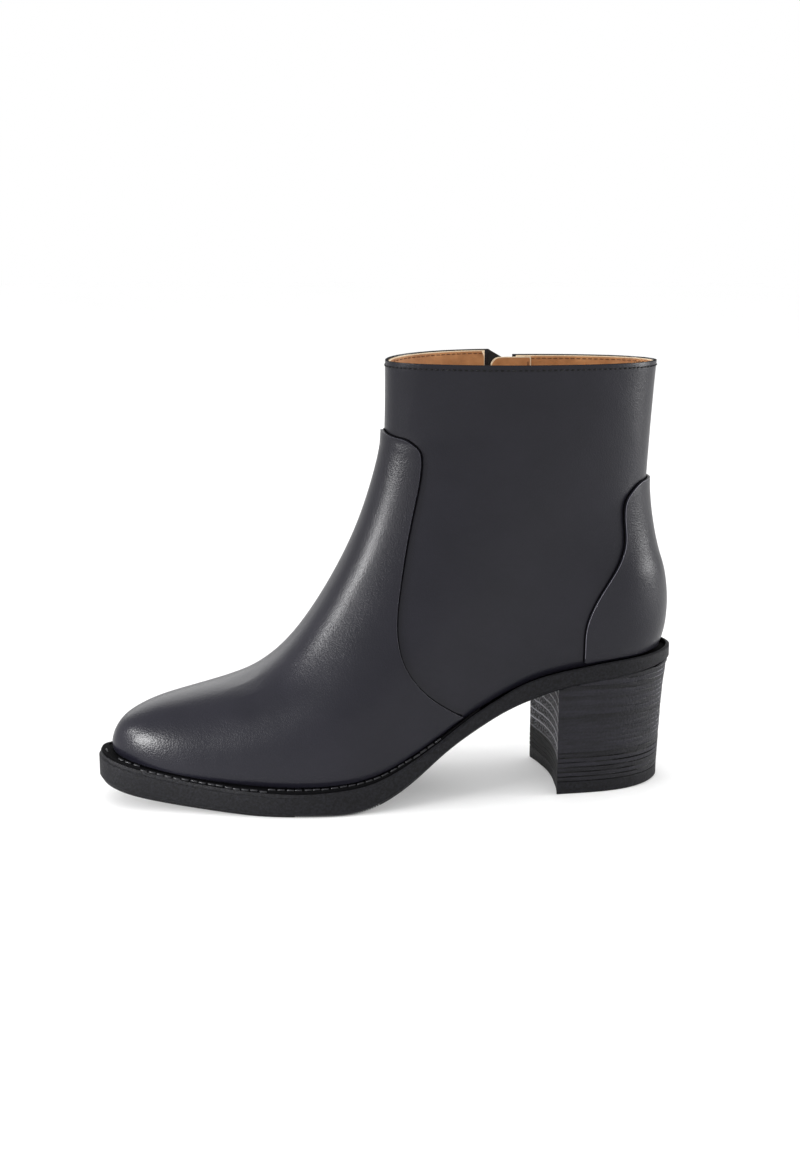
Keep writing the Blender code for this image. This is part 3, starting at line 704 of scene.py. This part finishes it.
def overlay(node, name, place, corners, troughs, tuck):
    panel = copyNode(node, name)
    keepSkin(panel, place)
    toQuads(panel, 1.5)
    sharp = {vertAt(panel, place) for place in corners}
    pick(panel, "VERT", lambda v: v.index in sharp)
    bpy.ops.transform.vert_crease(value=1.0)
    closeEdit()
    upper = borderRuns(panel, sharp)[1]  # only the lower edge has to keep its place
    smooth(panel, overlayLook["levels"], loose=upper)
    ease(panel, overlayLook["ease"])
    tuckUnder(panel, borderRuns(panel, sharp)[0], *tuck)
    for places, size, depth in troughs:
        softPush(panel, places, size, depth)
    lower = [panel.data.vertices[i].co.copy() for i in borderRuns(panel, sharp)[0]]
    foot = borderLine(panel, overlayLook["inkShadeDeep"], overlayLook["inkShadeOut"])
    modify(panel, "SOLIDIFY", thickness=overlayLook["thickness"] * mm, offset=-1, use_even_offset=True)
    paint(panel, calf, foldHighlightCalf)
    # the fold's rounded faces take the lighter calf, a painted highlight along the edge
    roundEdges(panel, overlayLook["fold"], 3, 60, 1)
    shade(panel)
    fromFoot = nearestTo(lower)
    # the painted highlight of the fold stops short of the lasted edge
    for face in panel.data.polygons:  # the lasted edge is left black
        if face.material_index == 1 and fromFoot(face.center) < overlayLook["noHighlightNearFoot"]:
            face.material_index = 0
    settle(panel, "boot", "black_leather", node)
    # a flat black tube of edge ink round the panel, standing in also for the shade at the fold's foot
    line = tubeAlong(name + "Ink", foot, overlayLook["ink"], True)
    paint(line, inkAndShade)
    settle(line, "boot", "black_leather")
    return panel


vamp = overlay("vamp", "vampLeather", (-80, -40, 30), ((27, -33, 38), (27, 27, 38)), vampTroughs,
               tuckLook["vamp"])
counter = overlay("heel_counter", "counterLeather", (140, 0, 90), ((81, -28, 58), (81, 27, 58)), (),
                  tuckLook["rear"])
print("overlays:", len(vamp.data.polygons), len(counter.data.polygons), "faces, at the folds",
      sum(face.material_index for face in vamp.data.polygons))

# collar stitching, outside in black and inside in brown
collarRow = {"pitch": 2.5, "length": 1.75, "width": 0.72, "lift": 0.02, "below": 2.1, "belowLining": 1.3}
liningRow = {"pitch": 2.5, "length": 1.9, "width": 0.42, "lift": 0.02}
outsideRow = []
insideRow = []
for points, row, side, drop in ((collarRim, outsideRow, 2, collarRow["below"]),
                                (liningRim, insideRow, -2, collarRow["belowLining"] + liningLook["below"])):
    for point in points:
        out = Vector((point.x - collarMiddle * mm, point.y, 0)).normalized()
        row.append(point + out * side * mm - Vector((0, 0, drop * mm)))
collarSeam = sewRow("collarStitches", quarter, outsideRow[1:-1], collarRow, dullThread)
settle(collarSeam, "boot", "black_leather")
liningSeam = sewRow("liningStitches", lining, insideRow[1:-1], liningRow, brownThread)
settle(liningSeam, "boot", "tan_leather")
print("collar sewn")

# the welt strip and its row of stitches
weltLook = {"sharp": 40, "edge": 0.4, "limit": 45, "soft": 40}
weltRow = {"pitch": 3.7, "length": 3.3, "width": 0.95, "lift": 0.16, "ends": 24, "loose": 0.25,
           "fromEdge": 1.3, "evened": 6}
weltTop = copyNode("welt", "weltGuide")
keepSkin(weltTop, (-126, 0, 30), 40)
toQuads(weltTop)
across = {}
border = set(borderEdges(weltTop))
for edge in weltTop.data.edges:
    key = edge.key
    if key not in border:
        p, q = [weltTop.data.vertices[i].co for i in key]
        hub = Vector((0.0 if p.x > 0 else -50 * mm, 0.0, p.z))  # the strip runs round these two
        outer, inner = (key[0], key[1]) if (p - hub).length > (q - hub).length else (key[1], key[0])
        if outer not in across or (p - q).length < across[outer][1]:
            across[outer] = (inner, (p - q).length)
weltPath = []
for outer, (inner, span) in across.items():
    p, q = weltTop.data.vertices[outer].co, weltTop.data.vertices[inner].co
    if p.x < weltRow["ends"] * mm:
        weltPath.append(p + (q - p).normalized() * weltRow["fromEdge"] * mm)
weltPath.sort(key=lambda p: math.atan2(p.y, 60 * mm - p.x))  # from waist to waist round the toe
for turn in range(weltRow["evened"]):  # evens out the line of the needle
    weltPath[1:-1] = [(a + b + c) / 3 for a, b, c in zip(weltPath, weltPath[1:], weltPath[2:])]
bpy.data.objects.remove(weltTop)
welt = plainCopy("welt", "weltStrip", **weltLook)
# black ink on the welt, made darker still as painted shade under the vamp
paint(welt, weltInkAndShade)
settle(welt, "boot", "welt_leather", "welt")
weltSeam = sewRow("weltStitches", welt, weltPath, weltRow, weltThread)
settle(weltSeam, "boot", "welt_leather")
print("welt sewn:", len(weltSeam.data.polygons), "faces")

# outsole: smoothed, a raised lip round its top with a deep groove behind, the groove painted flat black as
# shade, ribs across the tread
soleLook = {"edge": 0.3, "lip": 0.65, "wall": 0.12, "groove": 2.2, "seatOut": 0.4, "backIn": 0.5,
            "seatFrom": 71, "backFrom": 105, "backOver": 15}
lipLook = {"rise": 1.1, "fadeFrom": -8, "fadeTo": 42}  # as high as half the welt, and pared away with it
ribLook = {"pitch": 1.1, "wide": 0.55, "deep": 0.9, "from": -112, "to": -9.5, "rim": 6, "openFrom": -45,
           "tall": 4}
sole = copyNode("outsole", "outsoleRubber")
toQuads(sole)
paint(sole, rubber, inkAndShade)
# the flat top, and after the insets the groove behind the lip, is painted flat black ink: painted shade
top = max(sole.data.polygons, key=lambda face: face.normal.z * (abs(face.center.x) < 30 * mm)).index
pick(sole, "FACE", lambda face: face.index == top)
bpy.ops.mesh.faces_select_linked_flat(sharpness=math.radians(20))
sole.active_material_index = 1
bpy.ops.object.material_slot_assign()
closeEdit()
seatFrom = soleLook["seatFrom"] * mm
seatEdge = {v.index: v.normal.copy() for v in sole.data.vertices if v.co.x > seatFrom and v.normal.z < -0.5}
for i, normal in seatEdge.items():  # the seat runs nearly flush into the heel, at the back it draws in to it
    spot = sole.data.vertices[i].co
    back = clamp((spot.x / mm - soleLook["backFrom"]) / soleLook["backOver"])
    out = soleLook["seatOut"] * (1 - back) - soleLook["backIn"] * back
    spot += Vector((normal.x, normal.y, 0)).normalized() * out * mm
holdSharp(sole, 25)
smooth(sole, 2)
for i in {i for face in sole.data.polygons if face.material_index == 1 for i in face.vertices}:
    spot = sole.data.vertices[i].co
    faded = (lipLook["fadeTo"] - spot.x / mm) / (lipLook["fadeTo"] - lipLook["fadeFrom"])
    spot.z += lipLook["rise"] * clamp(faded) * mm
pick(sole, "FACE", lambda face: face.material_index == 1)
sole.active_material_index = 0
bpy.ops.object.material_slot_assign()
bpy.ops.mesh.inset(thickness=soleLook["lip"] * mm)
sole.active_material_index = 1
bpy.ops.object.material_slot_assign()
bpy.ops.mesh.inset(thickness=soleLook["wall"] * mm)
bpy.ops.transform.translate(value=(0, 0, -soleLook["groove"] * mm))
closeEdit()
roundEdges(sole, soleLook["edge"], 2, 30)
bpy.context.view_layer.update()
cuts = []
x = ribLook["from"]
while x < ribLook["to"]:
    hit, spot, normal, face = sole.ray_cast(Vector((x * mm, 0, -20 * mm)), Vector((0, 0, 1)))
    rim = ribLook["rim"] if x < ribLook["openFrom"] else -ribLook["rim"]  # at the ball the ribs run right out
    ends = []
    for side in (-1, 1):
        beside = Vector((x * mm, side * 0.1, spot.z + 3 * mm))
        hit, edge, normal, face = sole.ray_cast(beside, Vector((0, -side, 0)))
        ends.append(edge.y - side * rim * mm)
    middle = (x * mm, sum(ends) / 2, spot.z + (ribLook["deep"] - ribLook["tall"] / 2) * mm)
    bpy.ops.object.select_all(action="DESELECT")
    bpy.ops.mesh.primitive_cube_add(size=1, location=middle)
    bpy.context.object.scale = (ribLook["wide"] * mm, ends[1] - ends[0], ribLook["tall"] * mm)
    cuts.append(bpy.context.object)
    x += ribLook["pitch"]
comb = joinAll(cuts)
bpy.ops.object.transform_apply(location=True, rotation=True, scale=True)
modify(sole, "BOOLEAN", operation="DIFFERENCE", solver="MANIFOLD", object=comb)
bpy.data.objects.remove(comb)
shade(sole, 30)
settle(sole, "boot", "sole_rubber", "outsole")
print("outsole:", len(sole.data.polygons), "faces")

liftLook = {"sharp": 30, "edge": 0.3, "limit": 30, "soft": 30}
lift = plainCopy("top_lift", "topLiftRubber", **liftLook)
paint(lift, rubber)
settle(lift, "boot", "sole_rubber", "top_lift")

sockLook = {"sharp": 40, "edge": 0.5, "limit": 45, "soft": 40}
sock = plainCopy("insole", "insoleSock", **sockLook)
paint(sock, sockTan, boardShade)
for face in sock.data.polygons:  # tan on top only, the board's side painted black as shade in the gap under the upper
    face.material_index = 0 if face.normal.z > 0.5 else 1
settle(sock, "boot", "tan_leather", "insole")
print("sole made")

# the heel: a block cut into layers, each layer set in or out a little, joints fading along the sides
heel = copyNode("heel", "heelStack")
toQuads(heel)
holdSharp(heel, 40)
smooth(heel, 2)
levels = [(stackLook["first"] + k * stackLook["pitch"]) * mm for k in range(stackLook["count"])]
for level in levels:
    for offset in (-stackLook["half"] * mm, 0, stackLook["half"] * mm):
        openEdit(heel, "FACE", "SELECT")
        bpy.ops.mesh.bisect(plane_co=(0, 0, level + offset), plane_no=(0, 0, 1), use_fill=False)
        closeEdit()
draw = random.Random(5)
steps = [draw.uniform(-1, 1) * stackLook["step"] * mm for level in range(len(levels) + 1)]
normals = [v.normal.copy() for v in heel.data.vertices]
foot = min(v.co.z for v in heel.data.vertices)
for v, normal in zip(heel.data.vertices, normals):
    if abs(normal.z) > 0.5 or v.co.z < foot + 0.2 * mm:
        continue
    nearest = min(levels, key=lambda level: abs(level - v.co.z))
    back = clamp((v.co.x / mm - stackLook["backFrom"]) / stackLook["backOver"])
    fading = stackLook["shown"] + noise.noise(v.co * stackLook["patches"] + Vector((0, 0, nearest * 4000)))
    if abs(v.co.z - nearest) < 0.01 * mm:
        low = clamp((stackLook["coarseUpTo"] - v.co.z / mm) / stackLook["coarseOver"])
        coarse = 1 + 2 * low  # the lowest joints show most
        deep = stackLook["groove"] * coarse + (stackLook["backGroove"] - stackLook["groove"]) * back
        v.co -= normal * deep * max(fading, 0.1) * mm
    elif v.co.z > levels[-1]:
        v.co += normal * stackLook["flare"] * back * mm
    else:
        v.co += normal * steps[sum(v.co.z > level for level in levels)] * (0.3 + 0.7 * back)
shift(heel, lambda v: v.normal.z > 0.6, z=stackLook["glued"])  # glued up against the seat
shade(heel, 25)
paint(heel, stack, breast)
for face in heel.data.polygons:
    face.material_index = 1 if face.normal.x < -0.6 else 0
settle(heel, "boot", "stacked_leather", "heel")
print("heel stacked:", len(heel.data.polygons), "faces")

# zip: woven tape whose front end runs up to the collar, moulded teeth, guard flap, slider and its tab
zipLook = {"middle": 54.5, "pitch": 1.5, "from": 84, "to": 170}
tapeLook = {"sunk": 0.55, "endHigh": 5.0, "endLow": 3.0, "rearLow": 1.4, "rearOut": 0.22, "frontOut": 0.42,
            "cornerOut": 0.45, "footDown": 1.5, "edge": 0.15, "turn": 0.8, "curve": 3.6}
tape = copyNode("zip_tape", "zipTape")
toQuads(tape)
pick(tape, "FACE", lambda face: face.normal.y > 0.8 and abs(face.center.x - zipLook["middle"] * mm) < 1 * mm)
bpy.ops.transform.translate(value=(0, -tapeLook["sunk"] * mm, 0))
closeEdit()
shift(tape, lambda v: v.co.x > (zipLook["middle"] + 3.5) * mm, x=tapeLook["rearOut"])
shift(tape, lambda v: v.co.x < (zipLook["middle"] - 3.5) * mm, x=-tapeLook["frontOut"])
for side in (-1, 1):  # fills the slit's lower corners
    shift(tape, lambda v: v.co.z < 92 * mm and (v.co.x - zipLook["middle"] * mm) * side > 3 * mm,
          x=side * tapeLook["cornerOut"])
shift(tape, lambda v: v.co.z < 82 * mm, z=-tapeLook["footDown"])
tapeTop = max(v.co.z for v in tape.data.vertices)
for v in tape.data.vertices:  # the rear end is cut low, the front end rises to the collar
    if v.co.z > tapeTop - 0.6 * mm:
        ahead = zipLook["middle"] - tapeLook["turn"] - v.co.x / mm
        high = clamp(ahead / tapeLook["curve"])
        rise = tapeLook["endLow"] + (tapeLook["endHigh"] - tapeLook["endLow"]) * high
        v.co.z -= tapeLook["rearLow"] * mm * clamp(-ahead / 2)
        v.co.z += rise * mm * clamp(high * 3)
holdSharp(tape, 40)
smooth(tape, 2)
roundEdges(tape, tapeLook["edge"], 1, 45)
shade(tape)
paint(tape, tapeWeave)
settle(tape, "boot", "zip_fabric", "zip_tape")

toothLook = {"size": (2.3, 1.0, 0.75), "slimmer": 0.12, "edge": 0.16, "aside": 0.55, "out": 0.25}
bpy.ops.object.select_all(action="DESELECT")
bpy.ops.mesh.primitive_cube_add(size=1)
tooth = bpy.context.object
tooth.scale = [size * mm for size in toothLook["size"]]
bpy.ops.object.transform_apply(location=True, rotation=True, scale=True)
shift(tooth, lambda v: v.co.x > 0 and v.co.z > 0, z=-toothLook["slimmer"])  # at its head
roundEdges(tooth, toothLook["edge"], 1, 30)
bpy.context.view_layer.update()
teeth = []
step = 0
while zipLook["from"] + step * zipLook["pitch"] / 2 < zipLook["to"]:
    z = (zipLook["from"] + step * zipLook["pitch"] / 2) * mm
    side = 1 if step % 2 else -1
    ahead = Vector((zipLook["middle"] * mm, 60 * mm, z))
    found, spot, normal, face = tape.ray_cast(ahead, Vector((0, -1, 0)))
    copy = bpy.data.objects.new("zipTeeth", tooth.data.copy())
    spot += Vector((side * toothLook["aside"], toothLook["out"], 0)) * mm
    copy.data.transform(Matrix.Translation(spot) @ Matrix.Rotation(0 if side < 0 else math.pi, 4, "Y"))
    bpy.context.collection.objects.link(copy)
    teeth.append(copy)
    step += 1
bpy.data.objects.remove(tooth)
row = joinAll(teeth)
row.name = "zipTeeth"
shade(row, 30)
paint(row, lacquer)
settle(row, "boot", "zip_fabric")

guardLook = {"edge": 0.3, "forward": 1.0}
guard = copyNode("zip_guard", "zipGuard")
toQuads(guard)
shift(guard, lambda v: v.co.x < 54 * mm, x=-guardLook["forward"])
holdSharp(guard, 40)
smooth(guard, 2)
paint(guard, liningTan, rawEdge, boardShade)
for face in guard.data.polygons:
    face.material_index = 0 if abs(face.normal.y) > 0.7 else 1
sides = {}
for face in guard.data.polygons:
    for key in face.edge_keys:
        sides.setdefault(key, set()).add(face.material_index)
guardCut = edgeEnds(guard, [key for key, kinds in sides.items() if len(kinds) == 2])
roundEdges(guard, guardLook["edge"], 2, 45, 1)
markEdge(guard, guardCut)
for face in guard.data.polygons:  # its back, towards the zip, is painted black as shade behind the teeth
    if face.normal.y > 0.7:
        face.material_index = 2
shade(guard)
settle(guard, "boot", "tan_leather", "zip_guard")

sliderLook = {"narrower": 0.9, "below": 173, "edge": 0.3}
slider = copyNode("zip_slider", "zipSlider")
for side in (-1, 1):  # narrower at its foot
    shift(slider, lambda v: v.co.z < sliderLook["below"] * mm
          and (v.co.x - zipLook["middle"] * mm) * side > 1.5 * mm, x=-side * sliderLook["narrower"])
roundEdges(slider, sliderLook["edge"], 2, 40)
shade(slider)
paint(slider, lacquer)
settle(slider, "boot", "zip_metal", "zip_slider")

tabLook = {"wider": 0.7, "round": 1.2, "field": 0.7, "sunk": 0.25, "edge": 0.2}
tab = copyNode("zip_pull", "zipPull")
tabFoot = min(v.co.z for v in tab.data.vertices)
for side in (-1, 1):
    shift(tab, lambda v: v.co.z < tabFoot + 1 * mm and (v.co.x - zipLook["middle"] * mm) * side > 0,
          x=side * tabLook["wider"])
pick(tab, "EDGE", lambda edge: all(tab.data.vertices[i].co.z < tabFoot + 0.1 * mm for i in edge.vertices)
     and abs(tab.data.vertices[edge.vertices[0]].co.x - tab.data.vertices[edge.vertices[1]].co.x) < 0.1 * mm)
bpy.ops.mesh.bevel(offset=tabLook["round"] * mm, segments=3, affect="EDGES")
closeEdit()
pick(tab, "FACE", lambda face: abs(face.normal.y) > 0.9 and face.area > 20 * mm * mm)
bpy.ops.mesh.inset(thickness=tabLook["field"] * mm, depth=-tabLook["sunk"] * mm, use_individual=True)
closeEdit()
roundEdges(tab, tabLook["edge"], 1, 40)
shade(tab)
paint(tab, lacquer)
settle(tab, "zip_pull", "zip_metal", "zip_pull")

# stitches either side of the zip, and down the seam where the guard is sewn to the lining
zipRow = {"pitch": 2.6, "length": 2.0, "width": 0.55, "lift": 0.03}
for name, x, surface, y, thread, slot, low, high in (
        ("zipStitchesFront", 46.6, quarter, 40, dullThread, "black_leather", 82, 184),
        ("zipStitchesRear", 62.4, quarter, 40, dullThread, "black_leather", 82, 182),
        ("guardStitches", 66.4, guard, 10, brownThread, "tan_leather", 82, 184)):
    path = [Vector((x, y, z)) * mm for z in range(low, high + 1, 2)]
    bpy.context.view_layer.update()
    onto = []
    for point in path:
        found, spot, normal, face = surface.ray_cast(point, Vector((0, -1 if y > 20 else 1, 0)))
        if found:
            onto.append(spot)
    settle(sewRow(name, surface, onto, zipRow, thread), "boot", slot)
print("zip made")

# floor, lights and camera
bpy.ops.object.select_all(action="DESELECT")
bpy.ops.mesh.primitive_circle_add(vertices=96, radius=6, fill_type="NGON", location=(0, 0, -0.05 * mm))
floor = bpy.context.object
floor.name = "studioFloor"
bpy.ops.object.transform_apply(location=True, rotation=True, scale=True)
paint(floor, paintedFloor(0.22, "d4d4d4"))

# white room: full light on the floor and behind the boot, dimmer where gloss would mirror it
studioLook = {"room": 1.0, "mirrored": 0.54}
world = bpy.data.worlds.new("studio")
bpy.context.scene.world = world
world.use_nodes = True
backdrop = world.node_tree.nodes["Background"]
backdrop.inputs["Color"].default_value = (1, 1, 1, 1)
rays = addNode(world.node_tree, "LightPath")
dim = addNode(world.node_tree, "MapRange", {"Value": rays.outputs["Is Glossy Ray"],
                                            "To Min": studioLook["room"], "To Max": studioLook["mirrored"]})
world.node_tree.links.new(dim.outputs["Result"], backdrop.inputs["Strength"])


def softbox(name, place, aim, size, power, spread=180):
    bpy.ops.object.light_add(type="AREA", location=place)
    light = bpy.context.object
    light.name = name
    light.data.shape = "RECTANGLE"
    light.data.size, light.data.size_y = size
    light.data.energy = power
    light.data.spread = math.radians(spread)
    light.visible_camera = False
    light.rotation_euler = (Vector(aim) - Vector(place)).to_track_quat("-Z", "Y").to_euler()


softbox("instepBox", (-0.572, -0.04, 0.334), (-0.008, 0.0, 0.118), (0.22, 0.22), 0.078, 20)
softbox("toeBox", (-0.353, -0.166, 0.115), (-0.1, -0.02, 0.03), (0.16, 0.09), 0.068, 36)
softbox("heelBox", (1.25, -0.1, 0.32), (0.1, 0.0, 0.09), (0.5, 0.4), 6)
softbox("backBox", (-0.35, 1.5, 0.8), (0.0, 0.0, 0.06), (1.3, 1.1), 6.2)
softbox("topBox", (0.1, -0.1, 1.7), (0.0, 0.0, 0.05), (0.9, 0.7), 3)

view = bpy.data.cameras.new("photoView")
view.sensor_fit = "VERTICAL"
view.sensor_height = 36
view.lens = 50.6
viewObject = bpy.data.objects.new("photoView", view)
bpy.context.collection.objects.link(viewObject)
viewObject.location = (-0.0983, -0.6816, 0.2448)
viewObject.rotation_euler = (math.radians(90 - 12.42), 0, math.radians(-8.62))
bpy.context.scene.camera = viewObject
bpy.context.scene.view_settings.view_transform = "Standard"
print("studio set")

bpy.context.view_layer.update()
